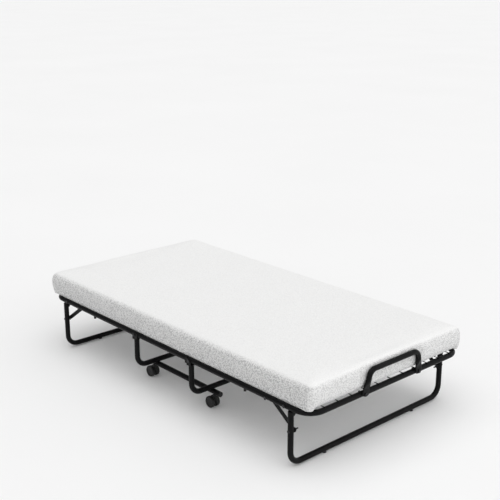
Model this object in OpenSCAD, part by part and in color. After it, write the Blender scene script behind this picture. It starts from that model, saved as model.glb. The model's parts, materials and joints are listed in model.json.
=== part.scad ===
// Rollaway folding cot: two hinged half frames and their folding end legs on a
// wheeled centre carriage, with a foam mattress in three sections.
// The origin is on the floor under the middle of the cot. +X points to the foot
// end, +Y across it and +Z up. The foot half is drawn, and the head half is the
// same parts turned half way round.

/* [Frame] */
// Length over the two end tubes
cot_length = 1905; // [1850:5:2000]
// Width over the side rails
cot_width = 990; // [900:5:1100]
// Height of the side rails' centreline
rail_z = 268; // [262:1:300]
// Outer diameter of the frame tubes
tube_d = 25; // [24:0.5:26]
// Wall of the tubes
tube_wall = 1.5; // [1.2:0.1:2]
// Centreline radius of the frame's outer corners
frame_bend = 75; // [60:5:90]
// Outer diameter of the crossbars
crossbar_d = 22; // [20:0.5:24]

/* [Carriage] */
// Distance of each fold hinge from the middle
hinge_x = 207; // [190:1:215]
// Height of the carriage's lower crossbars
u_bar_z = 104; // [100:1:120]
// Centreline radius of the carriage legs' corners
u_bend = 50; // [45:1:60]
// Distance of each base bar from the middle
base_bar_y = 358; // [330:1:380]
// Reach of the base bars towards the head end
base_bar_head = 248; // [222:1:255]
// Reach of the base bars towards the foot end
base_bar_foot = 257; // [245:1:270]

/* [End legs] */
// Distance of the end legs from the middle when open
leg_x = 838; // [800:1:845]
// Distance from the leg's centreline in to its pivot
leg_offset = 28; // [28:1:34]
// Centreline radius of the leg's corners
leg_bend = 55; // [45:1:60]
// Height of the bolt that holds the brace
brace_bolt_z = 166; // [165:1:170]
// Distance from the leg in to the brace's upper pivot
brace_reach = 138; // [130:1:140]
// Height of a glide under the leg
glide_h = 4; // [3:0.5:6]
// Distance of the glides from the middle
glide_y = 285; // [250:5:320]

/* [Spring base] */
// Diameter of the wires
wire_d = 4; // [3:0.5:5]
// Number of long wires
wire_count = 11; // [9:2:13]
// How far a wire hooks round the end tube, in degrees
hook_wrap = 40; // [20:5:60]

/* [Handles] */
// Diameter of the handle bar
handle_d = 23.5; // [20:0.5:25]
// Height of the handle bar above the end tube
handle_rise = 103; // [80:1:110]
// Distance of a handle foot from the middle
handle_foot_y = 173; // [160:1:190]
// Distance of a handle corner from the middle
handle_top_y = 153; // [120:1:155]
// Centreline radius of the handle's corners
handle_bend = 36; // [30:1:45]

/* [Casters] */
// Diameter of the wheels
wheel_d = 55; // [46:1:56]
// Width of one of the two wheels
wheel_w = 17; // [14:0.5:18]
// How far the axle trails behind the stem
caster_trail = 22; // [18:1:24]
// Distance of the head casters from the middle
caster_head_x = 236; // [205:1:240]
// Distance of the foot casters from the middle
caster_foot_x = 224; // [205:1:240]

/* [Mattress] */
// Length of the mattress
mattress_length = 1890; // [1860:5:1890]
// Width of the mattress
mattress_width = 974; // [900:1:980]
// Height of the top of the mattress
mattress_top = 390; // [370:1:400]

/* [Hidden] */
$fn = 48;
tube_r = tube_d / 2;
crossbar_r = crossbar_d / 2;
wire_r = wire_d / 2;
handle_r = handle_d / 2;
wheel_r = wheel_d / 2;
side_y = cot_width / 2 - tube_r;
end_x = cot_length / 2 - tube_r;
rail_top = rail_z + tube_r;
crossbar_z = rail_top - crossbar_r;
base_bar_z = u_bar_z - tube_d;
leg_bar_z = glide_h + tube_r;
cut = 1;

// Fasteners and their plates
bolt_r = 4;
bolt_gap = 0.06;
hole_r = bolt_r + bolt_gap;
head_r = 7;
head_h = 4;
low_head_h = 1.5;
nut_r = 7;
nut_h = 6;
plate_t = 3;
plate_gap = 0.4;
plate_in = tube_r + plate_gap;
plate_out = plate_in + plate_t;

// Fold hinges
hinge_tail = 13.5;
hinge_room = 19.5;
bracket_reach = 26;
bracket_top = 9;
saddle_w = 6;
saddle_t = 3;
notch_w = bracket_reach - tube_r - 2;
notch_h = hinge_room + plate_t - tube_r - saddle_t;

// Places along the half frame, measured from its end tube
mid_bar_x = end_x - 320;
leg_bar_x = end_x - 405;
inner_bar_x = end_x - 698;
outer_wire_x = [end_x - 106, end_x - 218];
inner_wire_x = [end_x - 552];
wire_pitch = 2 * side_y / (wire_count + 1);
wire_z = rail_top + wire_r;
cross_wire_z = wire_z - wire_d + 0.3;
cross_wire_y = side_y - 8.5;

// End legs and braces
leg_pivot_x = leg_x - leg_offset;
leg_top_z = rail_z - tube_r - 2.5;
link_r = 11;
bar_share = 0.88;
bar_inset = 0.25;
weld_w = 16;
brace_w = 22;
brace_t = 4;
brace_in = plate_out + plate_gap;
brace_out = brace_in + brace_t;
brace_top_x = leg_x - brace_reach;
brace_top_z = rail_z - 5;
hook_turn = 27;
hook_gap = 1.5;
washer_gap = 0.3;
thread_r = 3;
thread_out = 14;
catch_r = 6;
catch_h = 11;
catch_x = leg_pivot_x - (rail_z - leg_bar_z) + 6;
glide_r = 10;

// Handles
handle_set = 4.75;
handle_x = end_x + tube_r + handle_r - handle_set;
handle_lean = atan2(handle_foot_y - handle_top_y, handle_rise);
handle_turn = 90 - handle_lean;
handle_tangent = handle_bend * tan(handle_turn / 2);
handle_post = norm([handle_foot_y - handle_top_y, handle_rise]) - handle_tangent;
handle_start = 26;
bend_draw = 0.4;
bend_lap = 3;
foot_t = 5;
foot_r = 13;
tab_w = 34;
tab_length = 22;

// Casters
stem_r = 5.5;
stem_top = base_bar_z + 7;
collar_r = 11;
collar_gap = 0.3;
web_t = 9;
web_r = 21;
wheel_gap = 0.7;
axle_r = 4;
rim_chamfer = 2.5;
dish_r = 18;
dish_depth = 2;
cap_t = 3;

// Mattress
mattress_lift = 0.5;
mattress_z = rail_top + wire_d + mattress_lift;
mitre_gap = 3;

frame_black = "#1b1b1c";
wire_black = "#232324";
plastic_black = "#101011";
bolt_grey = "#3a3a3c";
foam_white = "#efefee";

// ---- shared shapes ----

module turned() rotate([0, 0, 180]) children();

module both_sides() {
  children();
  mirror([0, 1, 0]) children();
}

module bar_x(x1, x2, r) translate([x1, 0, 0]) rotate([0, 90, 0]) cylinder(h = x2 - x1, r = r);

module bar_y(y1, y2, r) translate([0, y1, 0]) rotate([-90, 0, 0]) cylinder(h = y2 - y1, r = r);

// A U of round bar in the XY plane, open towards -X
module u_rod(x_open, x_end, y_side, bend, r) {
  straight = y_side - bend;
  translate([x_end, 0, 0]) bar_y(-straight, straight, r);
  both_sides() {
    translate([0, y_side, 0]) bar_x(x_open, x_end - bend, r);
    translate([x_end - bend, straight, 0])
      rotate_extrude(angle = 90) translate([bend, 0]) circle(r);
  }
}

module u_tube(x_open, x_end, y_side, bend) {
  difference() {
    u_rod(x_open, x_end, y_side, bend, tube_r);
    u_rod(x_open - cut, x_end, y_side, bend, tube_r - tube_wall);
  }
}

// A standing U, open upwards, whose arms start at z_top
module standing_u(x, z_top, z_bar, bend) {
  translate([x, 0, 0]) rotate([0, 90, 0]) u_tube(-z_top, -z_bar, side_y, bend);
}

// A bolt along Y, head at the lower end and nut at the upper end
module bolt_y(y_head, y_nut, y_end, h = head_h) {
  bar_y(y_head - h, y_head, head_r);
  bar_y(y_head - cut, y_end, bolt_r);
  translate([0, y_nut, 0]) rotate([-90, 0, 0]) cylinder(h = nut_h, r = nut_r, $fn = 6);
}

// A flat bar with round eyes in the XZ plane, from y1 to y2
module link_plate(p, q, r, y1, y2) {
  d = q - p;
  half = bar_share * r;
  for (end = [p, q]) translate([end[0], 0, end[1]]) bar_y(y1, y2, r);
  translate([p[0], 0, p[1]]) rotate([0, -atan2(d[1], d[0]), 0])
    translate([0, y1 + bar_inset, -half]) cube([norm(d), y2 - y1 - 2 * bar_inset, 2 * half]);
}

// ---- carriage ----

module carriage_leg() {
  color(frame_black) standing_u(hinge_x, rail_z - hinge_room - plate_t, u_bar_z, u_bend);
}

module carriage_rail() {
  reach = hinge_x - hinge_room;
  color(frame_black) translate([0, -side_y, rail_z]) difference() {
    bar_x(-reach, reach, tube_r);
    bar_x(-reach - cut, reach + cut, tube_r - tube_wall);
  }
}

module carriage_crossbar() {
  y = side_y - plate_out;
  color(frame_black) translate([hinge_x, 0, rail_z]) difference() {
    bar_y(-y, y, crossbar_r);
    bar_y(-y - cut, y + cut, crossbar_r - tube_wall);
  }
}

module base_bar() {
  color(frame_black) difference() {
    translate([0, -base_bar_y, base_bar_z]) difference() {
      bar_x(-base_bar_head, base_bar_foot, tube_r);
      bar_x(-base_bar_head - cut, base_bar_foot + cut, tube_r - tube_wall);
    }
    for (x = [-caster_head_x, caster_foot_x])
      translate([x, -base_bar_y, base_bar_z - tube_d]) cylinder(h = tube_d, r = stem_r + bolt_gap);
  }
}

module base_bar_plugs() {
  color(plastic_black) both_sides() translate([0, base_bar_y, base_bar_z]) {
    bar_x(base_bar_foot, base_bar_foot + cap_t, tube_r);
    bar_x(-base_bar_head - cap_t, -base_bar_head, tube_r);
  }
}

module hinge_bracket() {
  x_in = hinge_x - bracket_reach;
  length = bracket_reach + hinge_tail;
  z_floor = rail_z - hinge_room - plate_t;
  height = rail_z + bracket_top - z_floor;
  difference() {
    union() {
      for (y = [-plate_out, plate_in]) translate([x_in, y, z_floor]) cube([length, plate_t, height]);
      translate([x_in, -plate_out, z_floor]) cube([length, 2 * plate_out, plate_t]);
      translate([x_in, -plate_out, z_floor]) cube([saddle_w, 2 * plate_out, hinge_room + plate_t]);
    }
    translate([0, 0, rail_z]) bar_x(0, hinge_x - hinge_room, tube_r);
    translate([x_in - cut, -plate_out - cut, z_floor - cut])
      cube([notch_w + cut, 2 * (plate_out + cut), notch_h + cut]);
    translate([hinge_x, 0, rail_z]) bar_y(-plate_out - cut, plate_out + cut, hole_r);
  }
}

module hinge_brackets() {
  color(frame_black) both_sides() translate([0, side_y, 0]) {
    hinge_bracket();
    mirror([1, 0, 0]) hinge_bracket();
  }
}

module hinge_bolts() {
  color(bolt_grey) both_sides() for (x = [-hinge_x, hinge_x])
    translate([x, -side_y, rail_z]) bolt_y(-plate_out, plate_out, plate_out + nut_h + 2);
}

// ---- half frame ----

module rail_hole(x, z) translate([x, 0, z]) bar_y(-cot_width, cot_width, hole_r);

module frame_tube() {
  color(frame_black) difference() {
    translate([0, 0, rail_z]) u_tube(hinge_x - hinge_tail, end_x, side_y, frame_bend);
    rail_hole(hinge_x, rail_z);
    rail_hole(leg_pivot_x, rail_z);
    rail_hole(brace_top_x, brace_top_z);
    both_sides() translate([0, handle_foot_y, rail_z]) bar_x(end_x - tube_d, end_x + tube_d, hole_r);
  }
}

module crossbar(x) {
  color(frame_black) difference() {
    translate([x, 0, crossbar_z]) bar_y(-side_y, side_y, crossbar_r);
    translate([x, 0, crossbar_z]) bar_y(-side_y, side_y, crossbar_r - tube_wall);
    both_sides() translate([0, side_y, rail_z]) bar_x(x - tube_d, x + tube_d, tube_r);
  }
}

module long_wires(x1, x2) {
  for (i = [1 : wire_count])
    translate([0, i * wire_pitch - side_y, wire_z]) bar_x(x1, x2, wire_r);
}

module cross_wire(x) translate([x, 0, cross_wire_z]) bar_y(-cross_wire_y, cross_wire_y, wire_r);

module outer_wires() {
  color(wire_black) {
    long_wires(mid_bar_x, end_x);
    for (x = outer_wire_x) cross_wire(x);
    for (i = [1 : wire_count])
      translate([end_x, i * wire_pitch - side_y, rail_z]) rotate([90, 0, 0])
        rotate([0, 0, 90 - hook_wrap]) rotate_extrude(angle = hook_wrap)
          translate([tube_r + wire_r, 0]) circle(wire_r);
  }
}

module inner_wires() {
  color(wire_black) {
    long_wires(inner_bar_x, leg_bar_x);
    for (x = inner_wire_x) cross_wire(x);
  }
}

// One side of the handle; its bend is drawn slightly thinner than the straight bars it enters
module handle_side() {
  translate([end_x + tube_r, handle_foot_y, rail_z]) bar_x(0, foot_t, foot_r);
  translate([handle_x, handle_foot_y, rail_z]) rotate([handle_lean, 0, 0]) {
    translate([handle_set - handle_r + bar_inset, -tab_w / 2, 0])
      cube([foot_t - 2 * bar_inset, tab_w, tab_length]);
    translate([0, 0, handle_start]) sphere(handle_r);
    translate([0, 0, handle_start]) cylinder(h = handle_post + bend_lap - handle_start, r = handle_r);
    translate([0, -handle_bend, handle_post]) rotate([90, 0, 90])
      rotate_extrude(angle = handle_turn) translate([handle_bend, 0]) circle(handle_r - bend_draw);
  }
}

module handle() {
  top = handle_top_y - handle_tangent + bend_lap;
  color(frame_black) difference() {
    union() {
      both_sides() handle_side();
      translate([handle_x, 0, rail_z + handle_rise]) bar_y(-top, top, handle_r);
    }
    both_sides() translate([0, handle_foot_y, rail_z]) bar_x(end_x, handle_x + handle_d, hole_r);
  }
}

module handle_bolts() {
  color(bolt_grey) both_sides() translate([end_x, handle_foot_y, rail_z]) {
    bar_x(-tube_r - nut_h - 4, tube_r + foot_t, bolt_r);
    bar_x(tube_r + foot_t, tube_r + foot_t + head_h, head_r);
    translate([-tube_r - nut_h, 0, 0]) rotate([0, 90, 0]) cylinder(h = nut_h, r = nut_r, $fn = 6);
  }
}

module leg_catches() {
  color(plastic_black) both_sides() difference() {
    translate([catch_x, side_y, rail_z - tube_r - catch_h]) cylinder(h = catch_h + tube_r, r = catch_r);
    translate([0, side_y, rail_z]) bar_x(catch_x - tube_d, catch_x + tube_d, tube_r);
    translate([catch_x - catch_r, side_y - catch_r, rail_z - tube_r / 2])
      cube([2 * catch_r, 2 * catch_r, tube_d]);
  }
}

module leg_pivot_bolts() {
  color(bolt_grey) both_sides()
    translate([leg_pivot_x, -side_y, rail_z]) bolt_y(-tube_r, plate_out, plate_out + nut_h + 2);
}

// A bolt that clamps a brace against a washer on the tube
module brace_bolt() {
  bolt_y(-tube_r, brace_out + washer_gap, brace_out + washer_gap + nut_h, low_head_h);
  bar_y(tube_r, brace_in - washer_gap, head_r);
}

module brace_pivot_bolts() {
  color(bolt_grey) both_sides() translate([brace_top_x, -side_y, brace_top_z]) brace_bolt();
}

// ---- end leg ----

module leg_tube() {
  color(frame_black) difference() {
    standing_u(leg_x, leg_top_z, leg_bar_z, leg_bend);
    translate([leg_x, 0, brace_bolt_z]) bar_y(-cot_width, cot_width, hole_r);
  }
}

module leg_pivot_plates() {
  pivot = [leg_pivot_x, rail_z];
  foot = [leg_x, leg_top_z - link_r];
  color(frame_black) both_sides() translate([0, -side_y, 0]) difference() {
    union() {
      link_plate(pivot, foot, link_r, plate_in, plate_out);
      translate([leg_x - weld_w / 2, 0, foot[1] - link_r])
        cube([weld_w, (plate_in + plate_out) / 2, 2 * link_r]);
    }
    translate([leg_x, 0, 0]) cylinder(h = rail_z, r = tube_r);
    translate([leg_pivot_x, 0, rail_z]) bar_y(0, plate_out + cut, hole_r);
  }
}

module leg_glides() {
  color(plastic_black) both_sides() difference() {
    translate([leg_x, glide_y, 0]) cylinder(h = leg_bar_z - tube_r / 2, r = glide_r);
    translate([leg_x, glide_y, leg_bar_z]) bar_y(-tube_d, tube_d, tube_r);
  }
}

module brace_bolts() {
  thread_in = brace_out + washer_gap + nut_h;
  color(bolt_grey) both_sides() translate([leg_x, -side_y, brace_bolt_z]) {
    brace_bolt();
    bar_y(thread_in, thread_in + thread_out, thread_r);
  }
}

// Hangs from its pivot on the rail and hooks over the leg's bolt from above
module leg_braces() {
  foot = [leg_x, brace_bolt_z];
  top = [brace_top_x, brace_top_z];
  color(frame_black) both_sides() translate([0, -side_y, 0]) difference() {
    link_plate(foot, top, brace_w / 2, brace_in, brace_out);
    for (end = [foot, top])
      translate([end[0], 0, end[1]]) bar_y(brace_in - cut, brace_out + cut, hole_r);
    translate([foot[0], brace_in - cut, foot[1]]) rotate([0, -hook_turn, 0])
      translate([-brace_w, 0, -hole_r - hook_gap])
        cube([brace_w, brace_t + 2 * cut, 2 * (hole_r + hook_gap)]);
  }
}

// ---- casters ----

// Places children at the stem of one caster, on the floor
module at_caster(x, side) translate([x, side * base_bar_y, 0]) children();

module caster_fork() {
  collar_top = base_bar_z - tube_r - collar_gap;
  color(plastic_black) difference() {
    union() {
      translate([0, 0, wheel_d]) cylinder(h = stem_top - wheel_d, r = stem_r);
      translate([0, 0, wheel_d + 4]) cylinder(h = collar_top - wheel_d - 4, r = collar_r);
      translate([-collar_r, -web_t / 2, wheel_r]) cube([2 * collar_r, web_t, wheel_r + 5]);
      translate([-caster_trail, 0, wheel_r]) bar_y(-web_t / 2, web_t / 2, web_r);
    }
    translate([-caster_trail, 0, wheel_r]) bar_y(-web_t, web_t, axle_r + bolt_gap);
  }
}

module caster_axle() {
  reach = web_t / 2 + wheel_gap + wheel_w - dish_depth;
  color(bolt_grey) translate([-caster_trail, 0, wheel_r]) bar_y(-reach, reach, axle_r);
}

module caster_wheels() {
  y_in = web_t / 2 + wheel_gap;
  profile = [
    [axle_r, 0], [wheel_r - rim_chamfer, 0], [wheel_r, rim_chamfer],
    [wheel_r, wheel_w - rim_chamfer], [wheel_r - rim_chamfer, wheel_w],
    [dish_r, wheel_w], [dish_r, wheel_w - dish_depth], [axle_r, wheel_w - dish_depth]
  ];
  color(plastic_black) translate([-caster_trail, 0, wheel_r]) both_sides()
    translate([0, y_in, 0]) rotate([-90, 0, 0]) rotate_extrude() polygon(profile);
}

// ---- mattress ----

module foam(outline) {
  color(foam_white) translate([0, mattress_width / 2, 0]) rotate([90, 0, 0])
    linear_extrude(height = mattress_width) polygon(outline);
}

module mattress_middle_section() {
  low = hinge_x - (mattress_z - rail_z) - mitre_gap;
  high = hinge_x - (mattress_top - rail_z) - mitre_gap;
  foam([[-low, mattress_z], [low, mattress_z], [high, mattress_top], [-high, mattress_top]]);
}

module mattress_end_section() {
  low = hinge_x + (mattress_z - rail_z) + mitre_gap;
  high = hinge_x + (mattress_top - rail_z) + mitre_gap;
  end = mattress_length / 2;
  foam([[low, mattress_z], [end, mattress_z], [end, mattress_top], [high, mattress_top]]);
}

// ---- the nodes ----

turned() carriage_leg();  // carriage_leg_head
carriage_leg();  // carriage_leg_foot
carriage_rail();  // carriage_rail_near
turned() carriage_rail();  // carriage_rail_far
turned() carriage_crossbar();  // carriage_crossbar_head
carriage_crossbar();  // carriage_crossbar_foot
base_bar();  // base_bar_near
mirror([0, 1, 0]) base_bar();  // base_bar_far
base_bar_plugs();
hinge_brackets();
hinge_bolts();
mattress_middle_section();  // mattress_middle

frame_tube();  // foot_frame_tube
crossbar(mid_bar_x);  // foot_mid_crossbar
crossbar(leg_bar_x);  // foot_leg_crossbar
crossbar(inner_bar_x);  // foot_inner_crossbar
outer_wires();  // foot_outer_wires
inner_wires();  // foot_inner_wires
handle();  // foot_handle
handle_bolts();  // foot_handle_bolts
leg_catches();  // foot_leg_catches
leg_pivot_bolts();  // foot_leg_pivot_bolts
brace_pivot_bolts();  // foot_brace_pivot_bolts
mattress_end_section();  // foot_mattress
leg_tube();  // foot_leg_tube
leg_pivot_plates();  // foot_leg_pivot_plates
leg_glides();  // foot_leg_glides
brace_bolts();  // foot_brace_bolts
leg_braces();  // foot_leg_braces

turned() frame_tube();  // head_frame_tube
turned() crossbar(mid_bar_x);  // head_mid_crossbar
turned() crossbar(leg_bar_x);  // head_leg_crossbar
turned() crossbar(inner_bar_x);  // head_inner_crossbar
turned() outer_wires();  // head_outer_wires
turned() inner_wires();  // head_inner_wires
turned() handle();  // head_handle
turned() handle_bolts();  // head_handle_bolts
turned() leg_catches();  // head_leg_catches
turned() leg_pivot_bolts();  // head_leg_pivot_bolts
turned() brace_pivot_bolts();  // head_brace_pivot_bolts
turned() mattress_end_section();  // head_mattress
turned() leg_tube();  // head_leg_tube
turned() leg_pivot_plates();  // head_leg_pivot_plates
turned() leg_glides();  // head_leg_glides
turned() brace_bolts();  // head_brace_bolts
turned() leg_braces();  // head_leg_braces

at_caster(-caster_head_x, -1) caster_fork();  // caster_head_near_fork
at_caster(-caster_head_x, -1) caster_axle();  // caster_head_near_axle
at_caster(-caster_head_x, -1) caster_wheels();  // caster_head_near_wheels
at_caster(-caster_head_x, 1) caster_fork();  // caster_head_far_fork
at_caster(-caster_head_x, 1) caster_axle();  // caster_head_far_axle
at_caster(-caster_head_x, 1) caster_wheels();  // caster_head_far_wheels
at_caster(caster_foot_x, -1) caster_fork();  // caster_foot_near_fork
at_caster(caster_foot_x, -1) caster_axle();  // caster_foot_near_axle
at_caster(caster_foot_x, -1) caster_wheels();  // caster_foot_near_wheels
at_caster(caster_foot_x, 1) caster_fork();  // caster_foot_far_fork
at_caster(caster_foot_x, 1) caster_axle();  // caster_foot_far_axle
at_caster(caster_foot_x, 1) caster_wheels();  // caster_foot_far_wheels
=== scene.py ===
"""Looks of the folding cot: foam mattress, swept handles, finishes, stage, light and camera.

Everything is in metres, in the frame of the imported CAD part: +X towards the foot end, +Y towards
the far side, +Z up, with the floor at zero.
"""

import json
import math

import bmesh
import bpy
import numpy as np
from mathutils import Euler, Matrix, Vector, noise


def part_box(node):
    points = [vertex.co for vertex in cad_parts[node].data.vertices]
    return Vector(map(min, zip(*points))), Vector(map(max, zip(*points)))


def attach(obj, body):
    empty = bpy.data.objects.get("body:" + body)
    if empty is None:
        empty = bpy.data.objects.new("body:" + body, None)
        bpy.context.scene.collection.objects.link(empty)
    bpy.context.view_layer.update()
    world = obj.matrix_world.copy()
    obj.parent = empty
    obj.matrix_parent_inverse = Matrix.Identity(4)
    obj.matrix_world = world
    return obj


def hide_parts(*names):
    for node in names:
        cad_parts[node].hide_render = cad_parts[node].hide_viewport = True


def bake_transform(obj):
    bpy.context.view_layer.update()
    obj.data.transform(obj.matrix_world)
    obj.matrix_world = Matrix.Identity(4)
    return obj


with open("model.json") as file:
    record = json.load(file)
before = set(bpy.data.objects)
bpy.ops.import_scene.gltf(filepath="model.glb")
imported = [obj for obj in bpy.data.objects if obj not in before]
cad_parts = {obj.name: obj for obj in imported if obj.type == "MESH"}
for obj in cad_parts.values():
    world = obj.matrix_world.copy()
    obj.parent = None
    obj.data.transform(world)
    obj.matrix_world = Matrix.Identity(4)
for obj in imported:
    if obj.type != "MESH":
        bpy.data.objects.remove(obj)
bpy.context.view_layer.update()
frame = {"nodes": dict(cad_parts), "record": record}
scene = bpy.context.scene

# ---- places taken from the frame ----

rail_low, rail_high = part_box("foot_frame_tube")
wires_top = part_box("foot_inner_wires")[1].z
foam_low, foam_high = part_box("foot_mattress")
handle_low, handle_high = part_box("foot_handle")
foot_bolts_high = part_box("foot_handle_bolts")[1]
rail_z = (rail_low.z + rail_high.z) / 2

ENDS = {"foot": 1, "head": -1}


# ---- small helpers ----


def smoothstep(low, high, x):
    t = np.clip((x - low) / (high - low), 0.0, 1.0)
    return t * t * (3 - 2 * t)


def points_of(mesh):
    co = np.empty(len(mesh.vertices) * 3)
    mesh.vertices.foreach_get("co", co)
    return co.reshape(-1, 3)


def set_points(mesh, co):
    mesh.vertices.foreach_set("co", co.astype(np.float32).ravel())
    mesh.update()


def normals_of(mesh):
    n = np.empty(len(mesh.vertices) * 3)
    mesh.vertices.foreach_get("normal", n)
    return n.reshape(-1, 3)


def add_object(name, mesh):
    obj = bpy.data.objects.new(name, mesh)
    scene.collection.objects.link(obj)
    return obj


def settle(obj):
    """Gives obj the mesh that its modifiers make, and removes them."""
    graph = bpy.context.evaluated_depsgraph_get()
    mesh = bpy.data.meshes.new_from_object(obj.evaluated_get(graph))
    old = obj.data
    obj.modifiers.clear()
    obj.data = mesh
    bpy.data.meshes.remove(old)


def shade_smooth(mesh):
    mesh.polygons.foreach_set("use_smooth", [True] * len(mesh.polygons))
    mesh.update()


# ---- finishes ----


class Finish:
    """A Principled material whose nodes are added one call at a time."""

    def __init__(self, name, **fixed):
        self.material = bpy.data.materials.new(name)
        self.material.use_nodes = True
        self.tree = self.material.node_tree
        self.shader = self.tree.nodes["Principled BSDF"]
        for socket, value in fixed.items():
            self.shader.inputs[socket.replace("_", " ")].default_value = value

    def add(self, kind, links=None, values=None, **settings):
        """A node of that kind. links maps its inputs to outputs, values to plain values."""
        node = self.tree.nodes.new(kind)
        for key, value in settings.items():
            setattr(node, key, value)
        for key, value in (values or {}).items():
            node.inputs[key].default_value = value
        for key, output in (links or {}).items():
            self.tree.links.new(output, node.inputs[key])
        return node

    def drive(self, socket, output):
        self.tree.links.new(output, self.shader.inputs[socket])

    def noise(self, vector, scale, detail=2.0, roughness=0.5, distortion=0.0):
        values = {
            "Scale": scale,
            "Detail": detail,
            "Roughness": roughness,
            "Distortion": distortion,
        }
        return self.add("ShaderNodeTexNoise", {"Vector": vector}, values).outputs["Fac"]

    def span(self, value, low, high, to_low, to_high):
        """value mapped from low..high onto to_low..to_high."""
        values = {
            "From Min": low,
            "From Max": high,
            "To Min": to_low,
            "To Max": to_high,
        }
        node = self.add("ShaderNodeMapRange", {"Value": value}, values)
        return node.outputs["Result"]

    def blend(self, factor, colour_a, colour_b):
        """A colour between two plain colours or colour outputs."""
        node = self.add("ShaderNodeMix", data_type="RGBA")
        inputs = [s for s in node.inputs if s.type == "RGBA"]
        for socket, colour in zip(inputs, (colour_a, colour_b)):
            if isinstance(colour, tuple):
                socket.default_value = (*colour, 1.0)
            else:
                self.tree.links.new(colour, socket)
        self.tree.links.new(factor, node.inputs["Factor"])
        return next(s for s in node.outputs if s.type == "RGBA")

    def maths(self, operation, a, b):
        node = self.add("ShaderNodeMath", operation=operation)
        for socket, value in zip(node.inputs, (a, b)):
            if isinstance(value, (int, float)):
                socket.default_value = value
            else:
                self.tree.links.new(value, socket)
        return node.outputs["Value"]

    def bump(self, height, distance, strength=1.0, under=None):
        links = {"Height": height}
        if under is not None:
            links["Normal"] = under
        values = {"Distance": distance, "Strength": strength}
        return self.add("ShaderNodeBump", links, values).outputs["Normal"]


def coated_steel(name, dark, light, roughness, peel_scale, peel_depth):
    """Satin powder coat: orange peel, a faint mottling, and dull rubbed patches."""
    f = Finish(name, Specular_IOR_Level=0.09)
    place = f.add("ShaderNodeTexCoord").outputs["Object"]
    mottle = f.noise(place, 14, detail=3)
    rubbed = f.span(f.noise(place, 31, detail=5, roughness=0.65), 0.52, 0.72, 0, 1)
    grains = f.span(f.noise(place, 1400, detail=1), 0.35, 0.75, 0, 1)
    base = f.blend(f.span(mottle, 0.35, 0.65, 0, 1), dark, light)
    speckled = f.blend(f.maths("MULTIPLY", grains, 0.35), base, tuple(2.1 * c for c in light))
    scuffed = tuple(1.7 * c for c in light)
    f.drive("Base Color", f.blend(f.maths("MULTIPLY", rubbed, 0.5), speckled, scuffed))
    rough = f.maths("ADD", f.span(mottle, 0.3, 0.7, roughness - 0.05, roughness + 0.05),
                    f.maths("MULTIPLY", rubbed, 0.12))
    f.drive("Roughness", rough)
    peel = f.bump(f.noise(place, peel_scale, detail=2), peel_depth)
    f.drive("Normal", f.bump(grains, peel_depth * 0.15, under=peel))
    return f.material


def dark_fastener():
    """Black-oxide steel with fine turning marks and a few bright rubs."""
    f = Finish("fastener_steel", Metallic=0.85)
    place = f.add("ShaderNodeTexCoord").outputs["Object"]
    stretch = f.add("ShaderNodeMapping", {"Vector": place}, {"Scale": (1.0, 9.0, 1.0)})
    marks = f.noise(stretch.outputs["Vector"], 420, detail=3)
    rubs = f.span(f.noise(place, 160, detail=4), 0.55, 0.7, 0, 1)
    f.drive("Base Color", f.blend(rubs, (0.03, 0.03, 0.032), (0.11, 0.11, 0.115)))
    f.drive("Roughness", f.span(marks, 0.3, 0.7, 0.3, 0.48))
    f.drive("Normal", f.bump(marks, 0.00012))
    return f.material


def moulded_plastic(name, colour, dusty, roughness):
    """Spark-grained black plastic with a dusty bloom."""
    f = Finish(name, Specular_IOR_Level=0.35)
    place = f.add("ShaderNodeTexCoord").outputs["Object"]
    bloom = f.span(f.noise(place, 45, detail=5, roughness=0.6), 0.45, 0.75, 0, 1)
    grain = f.noise(place, 2200, detail=2)
    f.drive("Base Color", f.blend(bloom, colour, dusty))
    f.drive("Roughness", f.span(bloom, 0, 1, roughness, roughness + 0.16))
    f.drive("Normal", f.bump(grain, 0.00012))
    return f.material


COVER_WHITE = (0.875, 0.875, 0.87)
# colour of the painted shade in the gaps between the nubs
COVER_GAP_SHADE = (0.40, 0.40, 0.40)
NUBS_PER_METRE = 170.0
LOOPS_PER_METRE = 420
NUB_DRIFT = 0.0045  # how far the nubs stray from their places
NUB_DEPTH = 0.0046


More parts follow.
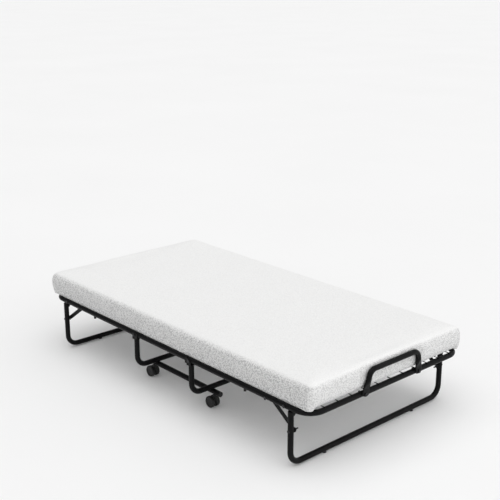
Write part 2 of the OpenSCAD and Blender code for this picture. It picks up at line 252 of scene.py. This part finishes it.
def boucle_knit():
    """White boucle knit: small nubs with painted shade in their gaps on the sides, closer and flatter on
    top, where the gaps get little painted shade.
    """
    f = Finish("boucle_knit", Roughness=0.95, Sheen_Weight=0.25, Sheen_Roughness=0.6)
    rest = f.add("ShaderNodeAttribute", attribute_name="rest").outputs["Vector"]
    # This mask from the rest normals sets the nubs' bump depth and how much painted shade their gaps
    # get, most on the sides.
    pile_and_gap_shade = f.add("ShaderNodeAttribute", attribute_name="pile_and_gap_shade").outputs["Fac"]
    waver = f.add("ShaderNodeTexNoise", {"Vector": rest}, {"Scale": 95.0, "Detail": 2.0})
    drift = f.add(
        "ShaderNodeVectorMath",
        {0: waver.outputs["Color"]},
        {1: (NUB_DRIFT,) * 3},
        operation="MULTIPLY",
    )
    place = f.add(
        "ShaderNodeVectorMath",
        {0: rest, 1: drift.outputs["Vector"]},
        operation="ADD",
    ).outputs["Vector"]
    cells = f.add(
        "ShaderNodeTexVoronoi", {"Vector": place}, {"Scale": NUBS_PER_METRE}, feature="F1"
    ).outputs["Distance"]
    nubs = f.span(cells, 0.1, 0.75, 1, 0)
    loops = f.noise(place, LOOPS_PER_METRE, detail=3, roughness=0.65)
    height = f.maths("ADD", f.maths("MULTIPLY", nubs, 0.65), f.maths("MULTIPLY", loops, 0.5))
    tufts = f.span(f.noise(rest, 60, detail=3), 0.3, 0.7, 0.85, 1.1)
    height = f.maths("MULTIPLY", height, tufts)
    # The gaps between the nubs are darkened with painted shade, much more on the sides than on top.
    gap_shade = f.span(height, 0.28, 0.62, 1, 0)
    shade = f.maths("MULTIPLY", gap_shade, f.span(pile_and_gap_shade, 0, 1, 0.12, 0.8))
    f.drive("Base Color", f.blend(shade, COVER_WHITE, COVER_GAP_SHADE))
    deep = f.maths("MULTIPLY", height, f.span(pile_and_gap_shade, 0, 1, 0.22, 1.0))
    f.drive("Normal", f.bump(deep, NUB_DEPTH))
    return f.material


FRAME_PAINT = coated_steel(
    "powder_coat", (0.0030, 0.0030, 0.0032), (0.0055, 0.0055, 0.0058), 0.36, 620, 0.00025
)
WIRE_PAINT = coated_steel(
    "wire_coat", (0.004, 0.004, 0.0043), (0.007, 0.007, 0.0073), 0.4, 900, 0.00018
)
FINISHES = {
    "frame_black": FRAME_PAINT,
    "wire_black": WIRE_PAINT,
    "fastener": dark_fastener(),
    "plastic_black": moulded_plastic("grained_plastic", (0.006,) * 3, (0.015,) * 3, 0.42),
    "wheel_black": moulded_plastic("wheel_plastic", (0.007,) * 3, (0.022,) * 3, 0.36),
    "foam_cover": boucle_knit(),
}


def finish_cad_nodes():
    """Every carried-over CAD node gets its slot's finish."""
    slots = {s["node"]: s["material_slot"] for s in frame["record"]["subparts"]}
    for node, obj in frame["nodes"].items():
        obj.data.materials.clear()
        obj.data.materials.append(FINISHES[slots[node]])


# ---- mattress ----

SWELL = 0.005  # how far the pressure may push a point of the foam's cover
SIDE_CROWN = 0.006  # how far the sides bulge at half their height
HEAD_BULGE = 1.6  # how much further the head end bulges, as a share of SIDE_CROWN
FOAM_VOXEL = 0.012  # of the remeshed block, which is then divided once more
CORNER_R = 0.020  # upright corners of the block
TOP_EDGE_R = 0.028
LOW_EDGE_R = 0.017
OVERHANG = {"foot": 0.008, "head": 0.026}  # past the CAD solid's ends, beside the handles
TOP_OVER = 0.008  # above the CAD solid's top
SIDE_SAG = 0.014  # how far the long lower edges sag onto the rails
END_LESS_NAP_AND_SHADE = 0.4  # how much flatter the cover's nap lies on the ends than on the long sides, and how much less painted shade the gaps between its nubs get there
END_TUCK = 0.0065  # how far the ends' lower edges stay behind the faces above them
PINCH = 0.003  # how far the top rises where a handle presses the end in
HANDLE_ROOM = 0.0015  # between the foam and a handle
HANDLE_FADE = (0.002, 0.05)  # how far beside a handle its hold on the end starts and stops fading
END_REACH = 0.035  # how much further the ends may reach beside the handles
RAIL_EDGE = (0.05, 0.02)  # how far inside the rails' outer faces the foam's sag starts and is full
SAG_HEIGHT = 0.035
FOAM_ROOM = 0.0012  # between the foam and the wires
END_ZONE = (0.07, 0.02)  # how far inside the CAD solid's ends their shaping starts and is full
SIM_FRAMES = 20


def foam_block():
    """The block before its cover swells, with rounded corners and edges."""
    spread = (OVERHANG["foot"] + OVERHANG["head"]) / 2
    shift = (OVERHANG["foot"] - OVERHANG["head"]) / 2
    half = Vector((foam_high.x + spread - SIDE_CROWN, foam_high.y - SIDE_CROWN, 0))
    low, high = foam_low.z + 0.001, foam_high.z + TOP_OVER - SWELL
    middle, height = (low + high) / 2, high - low
    bm = bmesh.new()
    bmesh.ops.create_cube(bm, size=1)
    bmesh.ops.scale(bm, vec=(2 * half.x, 2 * half.y, height), verts=bm.verts)
    bmesh.ops.translate(bm, vec=(shift, 0, middle), verts=bm.verts)
    upright = [e for e in bm.edges if abs(e.verts[0].co.z - e.verts[1].co.z) > height / 2]
    bmesh.ops.bevel(bm, geom=upright, offset=CORNER_R, segments=6, profile=0.5, affect="EDGES")
    for side, radius in ((1, TOP_EDGE_R), (-1, LOW_EDGE_R)):
        rim = [
            e
            for e in bm.edges
            if all(side * (v.co.z - middle) > height * 0.45 for v in e.verts)
        ]
        bmesh.ops.bevel(bm, geom=rim, offset=radius, segments=5, profile=0.5, affect="EDGES")
    mesh = bpy.data.meshes.new("foam")
    bm.to_mesh(mesh)
    bm.free()
    return add_object("foam", mesh)


def swell(obj):
    """The cover under the foam's pressure. It moves no further than SWELL, and never into the foam."""
    rest, normal = points_of(obj.data), normals_of(obj.data)
    cloth = obj.modifiers.new("Cloth", "CLOTH")
    cloth.settings.quality = 4
    cloth.settings.use_pressure = True
    cloth.settings.uniform_pressure_force = 4
    cloth.settings.effector_weights.gravity = 0
    cloth.collision_settings.use_self_collision = False
    cloth.point_cache.frame_end = SIM_FRAMES
    for f in range(1, SIM_FRAMES + 1):
        scene.frame_set(f)
    settle(obj)
    moved = points_of(obj.data) - rest
    outwards = np.sum(moved * normal, axis=1, keepdims=True)
    moved -= np.minimum(outwards, 0) * normal
    length = np.linalg.norm(moved, axis=1, keepdims=True) + 1e-9
    set_points(obj.data, rest + moved / length * SWELL * np.tanh(length / SWELL))


def crown_sides(mesh):
    """Bulges the sides, most at half height and at the head end, a little unevenly along the edge."""
    co, normal = points_of(mesh), normals_of(mesh)
    low, high = co[:, 2].min(), co[:, 2].max()
    belly = np.sin(math.pi * np.clip((co[:, 2] - low) / (high - low), 0, 1))
    uneven = np.array([1 + 0.5 * noise.noise(Vector(p) * 3.1) for p in co])
    headwards = np.clip(-normal[:, 0], 0, 1)
    amount = SIDE_CROWN * (1 + HEAD_BULGE * headwards) * belly * uneven
    outwards = normal * (1, 1, 0) * amount[:, None]
    set_points(mesh, co + outwards)


def rest_on_frame(co):
    """The foam lies on the wires, sags to the rails beside them, and is pinched by the handles."""
    x, y, z = co.T
    start, full = RAIL_EDGE
    over_rail = smoothstep(rail_high.y - start, rail_high.y - full, np.abs(y))
    floor = wires_top + FOAM_ROOM - over_rail * (wires_top - rail_high.z)
    low_part = 1 - smoothstep(foam_low.z, foam_low.z + SAG_HEIGHT, z)
    z = np.maximum(z - SIDE_SAG * over_rail * low_part, floor)
    near, far = HANDLE_FADE
    beside = smoothstep(handle_high.y + near, handle_high.y + far, np.abs(y))
    limit = handle_low.x - HANDLE_ROOM + END_REACH * beside
    x = np.clip(x, -limit, limit)
    return np.stack([x, y, z], axis=1)


def shape_ends(co):
    """The top rises between the handles' feet, and the lower edge tucks in behind the wires' hooks."""
    x, y, z = co.T
    start, full = END_ZONE
    near_end = smoothstep(foam_high.x - start, foam_high.x - full, np.abs(x))
    inside = 1 - smoothstep(handle_high.y - 0.06, handle_high.y + 0.06, np.abs(y))
    high_part = smoothstep(foam_low.z + 0.04, foam_high.z, z)
    low_part = 1 - smoothstep(foam_low.z + 0.004, foam_low.z + 0.034, z)
    inwards = -np.sign(x) * END_TUCK * near_end * low_part
    return co + np.stack([inwards, 0 * y, PINCH * near_end * inside * high_part], axis=1)


NUB_RELIEF = (0.00025, 0.0007)  # height of a nub on top, and what the sides add to it
SLOW_RELIEF = (0.0012, -0.0004)  # the same for the cover's slow unevenness


def texture_cover(mesh):
    """Nubs and slow unevenness of the cover as real relief, deeper on the sides than on top."""
    co, normal = points_of(mesh), normals_of(mesh)
    side = 1 - smoothstep(0.55, 0.95, np.abs(normal[:, 2]))
    nub = np.array([noise.noise(Vector(p) * 95) for p in co])
    slow = np.array([noise.noise(Vector(p) * 7) for p in co])
    lift = nub * (NUB_RELIEF[0] + NUB_RELIEF[1] * side) + slow * (SLOW_RELIEF[0] + SLOW_RELIEF[1] * side)
    set_points(mesh, co + normal * lift[:, None])
    # The returned mask sets the nubs' bump depth and how much painted shade their gaps get; the ends get
    # less of both.
    return side * (1 - END_LESS_NAP_AND_SHADE * np.abs(normal[:, 0]))


def half_of(whole, end, sign):
    """The part of the whole mattress on one side of its middle, closed by a hidden face."""
    bm = bmesh.new()
    bm.from_mesh(whole.data)
    cut = bmesh.ops.bisect_plane(
        bm,
        geom=bm.verts[:] + bm.edges[:] + bm.faces[:],
        plane_co=(0, 0, 0),
        plane_no=(-sign, 0, 0),
        clear_outer=True,
    )
    rim = [g for g in cut["geom_cut"] if isinstance(g, bmesh.types.BMEdge)]
    for face in bmesh.ops.holes_fill(bm, edges=rim)["faces"]:
        for edge in face.edges:
            edge.smooth = False
    mesh = bpy.data.meshes.new(f"{end}_half_mattress")
    bm.to_mesh(mesh)
    bm.free()
    shade_smooth(mesh)
    mesh.materials.append(FINISHES["foam_cover"])
    return add_object(f"{end}_half_mattress", mesh)


def add_point_attribute(mesh, name, kind, field, values):
    attribute = mesh.attributes.new(name, kind, "POINT")
    attribute.data.foreach_set(field, values.astype(np.float32).ravel())


def make_mattress():
    whole = foam_block()
    remesh = whole.modifiers.new("Remesh", "REMESH")
    remesh.mode = "VOXEL"
    remesh.voxel_size = FOAM_VOXEL
    settle(whole)
    swell(whole)
    crown_sides(whole.data)
    set_points(whole.data, rest_on_frame(shape_ends(points_of(whole.data))))
    subdivision = whole.modifiers.new("Subdivision", "SUBSURF")
    subdivision.levels = subdivision.render_levels = 1
    settle(whole)
    side = texture_cover(whole.data)
    set_points(whole.data, rest_on_frame(points_of(whole.data)))
    # the mask of the nubs' bump depth and of their gaps' painted shade
    add_point_attribute(whole.data, "pile_and_gap_shade", "FLOAT", "value", side)
    for end, sign in ENDS.items():
        half = half_of(whole, end, sign)
        co = points_of(half.data)
        add_point_attribute(half.data, "rest", "FLOAT_VECTOR", "vector", co)
        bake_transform(half)
        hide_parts(f"{end}_mattress", "mattress_middle")
    bpy.data.objects.remove(whole)


# ---- handles ----

TAB_HALF_WIDTH = 0.0205
TAB_HALF_THICKNESS = 0.0025
TAB_BELOW = 0.009  # how far the tab's rounded end reaches below its bolt
TAB_LENGTH = 0.030
TAB_FADE = 0.050  # length over which the flattened tube gets round again
BAR_SIDES = 32
BAR_STEP = 0.003
BEND_STEPS = 24
BEND_R = 0.036
BOLT_HEAD_R = 0.007
TOP_HALF_WIDTH = 0.153


def handle_path(bar_r):
    """Points (y, z) along the handle's middle line, foot to foot, evenly spaced."""
    foot = Vector((foot_bolts_high.y - BOLT_HEAD_R, rail_z))
    corner = Vector((TOP_HALF_WIDTH, handle_high.z - bar_r))
    rise = (corner - foot).normalized()
    turn = math.atan2(rise.y, -rise.x)
    tangent = BEND_R * math.tan(turn / 2)
    bend_start = corner - rise * tangent
    centre = Vector((corner.x - tangent, corner.y - BEND_R))
    start = foot - rise * TAB_BELOW
    rays = np.linspace(math.pi / 2 - turn, math.pi / 2, BEND_STEPS)
    arc = [centre + BEND_R * Vector((math.cos(a), math.sin(a))) for a in rays]
    half = [start, bend_start, *arc[1:]]
    corners = np.array([*half, *[(-p[0], p[1]) for p in reversed(half)]])
    steps = np.linalg.norm(np.diff(corners, axis=0), axis=1)
    length = np.concatenate([[0], np.cumsum(steps)])
    at = np.linspace(0, length[-1], int(length[-1] / BAR_STEP) + 1)
    path = np.stack([np.interp(at, length, corners[:, i]) for i in (0, 1)], axis=1)
    return path, np.minimum(at, length[-1] - at)


def make_handle(end, sign):
    """A tube bent to a loop, its two feet pressed flat and rounded to bolt onto the end tube."""
    bar_r = (handle_high.x - handle_low.x) / 2
    path, from_foot = handle_path(bar_r)
    along = np.gradient(path, axis=0)
    along /= np.linalg.norm(along, axis=1, keepdims=True)
    across = np.stack([along[:, 1], -along[:, 0]], axis=1)
    flat = 1 - smoothstep(TAB_LENGTH, TAB_LENGTH + TAB_FADE, from_foot)
    round_off = np.sqrt(1 - np.clip(1 - from_foot / TAB_BELOW, 0, 0.985) ** 2)
    width = (bar_r + (TAB_HALF_WIDTH - bar_r) * flat) * round_off
    depth = bar_r + (TAB_HALF_THICKNESS - bar_r) * flat
    bar_x, tab_x = handle_low.x + bar_r, rail_high.x + TAB_HALF_THICKNESS
    middle = bar_x + (tab_x - bar_x) * flat
    angles = np.linspace(0, 2 * math.pi, BAR_SIDES, endpoint=False)
    bm = bmesh.new()
    rings = []
    for i, (y, z) in enumerate(path):
        power = 1 - 0.55 * flat[i]  # below one, the section fills out towards a rounded oblong
        side = np.sign(np.cos(angles)) * np.abs(np.cos(angles)) ** power * width[i]
        out = np.sign(np.sin(angles)) * np.abs(np.sin(angles)) ** power * depth[i]
        ring = [
            bm.verts.new((sign * (middle[i] + o), y + s * across[i, 0], z + s * across[i, 1]))
            for s, o in zip(side, out)
        ]
        rings.append(ring)
    for a, b in zip(rings, rings[1:]):
        for k in range(BAR_SIDES):
            n = (k + 1) % BAR_SIDES
            bm.faces.new((a[k], a[n], b[n], b[k]))
    for ring in (rings[0], rings[-1]):
        bm.faces.new(ring)
    bmesh.ops.recalc_face_normals(bm, faces=bm.faces[:])
    mesh = bpy.data.meshes.new(f"{end}_handle_bar")
    bm.to_mesh(mesh)
    bm.free()
    shade_smooth(mesh)
    mesh.materials.append(FRAME_PAINT)
    handle = add_object(f"{end}_handle_bar", mesh)
    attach(handle, f"{end}_frame")
    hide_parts(f"{end}_handle")


# ---- stage, light and camera ----

FLOOR_R = 90.0
FLOOR_DARK = (0.845, 0.845, 0.845)
FLOOR_LIGHT = (0.86, 0.86, 0.86)
SKY_SLOPE = (0.95, 0.31, 0.0)  # the sky gets brighter this way
SKY_LEVEL = {"From Min": -1.0, "From Max": 1.0, "To Min": 0.12, "To Max": 1.15}
SKY_SEEN = 0.93  # the plain backdrop above the floor
SUN_ENERGY = 1.28
SUN_ANGLE = 70  # degrees across, so its shadows are very soft
TOWARDS_SUN = (0.0, -0.20, 1.0)
FLOOR_GLOW = 0.055  # fills the shadows, as the white surroundings of a studio do
CAMERA_AZIMUTH = 47.982
CAMERA_ELEVATION = 16.892
CAMERA_PLACE = (3.2367, -2.8617, 1.9444)
CAMERA_LENS = 67.72


def make_stage():
    f = Finish("pale_floor", Roughness=0.85, Specular_IOR_Level=0.2, Emission_Strength=FLOOR_GLOW)
    f.shader.inputs["Emission Color"].default_value = (1.0, 1.0, 1.0, 1.0)
    place = f.add("ShaderNodeTexCoord").outputs["Object"]
    cloud = f.span(f.noise(place, 0.6, detail=3), 0.3, 0.7, 0, 1)
    f.drive("Base Color", f.blend(cloud, FLOOR_DARK, FLOOR_LIGHT))
    bm = bmesh.new()
    bmesh.ops.create_circle(bm, cap_ends=True, segments=96, radius=FLOOR_R)
    mesh = bpy.data.meshes.new("floor")
    bm.to_mesh(mesh)
    bm.free()
    mesh.materials.append(f.material)
    add_object("floor", mesh)


def make_light():
    """A sky that is brighter towards one side, and a broad soft key light overhead."""
    world = bpy.data.worlds.new("studio")
    world.use_nodes = True
    tree = world.node_tree
    background = tree.nodes["Background"]
    background.inputs["Color"].default_value = (1.0, 1.0, 1.0, 1.0)
    direction = tree.nodes.new("ShaderNodeTexCoord")
    slope = tree.nodes.new("ShaderNodeVectorMath")
    slope.operation = "DOT_PRODUCT"
    slope.inputs[1].default_value = SKY_SLOPE
    level = tree.nodes.new("ShaderNodeMapRange")
    for socket, value in SKY_LEVEL.items():
        level.inputs[socket].default_value = value
    tree.links.new(direction.outputs["Generated"], slope.inputs[0])
    tree.links.new(slope.outputs["Value"], level.inputs["Value"])
    rays = tree.nodes.new("ShaderNodeLightPath")
    seen = tree.nodes.new("ShaderNodeMix")
    seen.inputs["B"].default_value = SKY_SEEN
    tree.links.new(rays.outputs["Is Camera Ray"], seen.inputs["Factor"])
    tree.links.new(level.outputs["Result"], seen.inputs["A"])
    tree.links.new(seen.outputs["Result"], background.inputs["Strength"])
    scene.world = world
    sun = bpy.data.lights.new("key", "SUN")
    sun.energy = SUN_ENERGY
    sun.angle = math.radians(SUN_ANGLE)
    key = bpy.data.objects.new("key", sun)
    key.rotation_euler = Vector(TOWARDS_SUN).to_track_quat("Z", "Y").to_euler()
    scene.collection.objects.link(key)
    scene.view_settings.view_transform = "Standard"


def make_camera():
    data = bpy.data.cameras.new("camera")
    data.lens = CAMERA_LENS
    data.clip_start, data.clip_end = 0.05, 3 * FLOOR_R
    camera = bpy.data.objects.new("camera", data)
    camera.location = CAMERA_PLACE
    camera.rotation_euler = Euler(
        (math.radians(90 - CAMERA_ELEVATION), 0, math.radians(CAMERA_AZIMUTH))
    )
    scene.collection.objects.link(camera)
    scene.camera = camera


make_camera()
finish_cad_nodes()
make_mattress()
for end, sign in ENDS.items():
    make_handle(end, sign)
make_stage()
make_light()
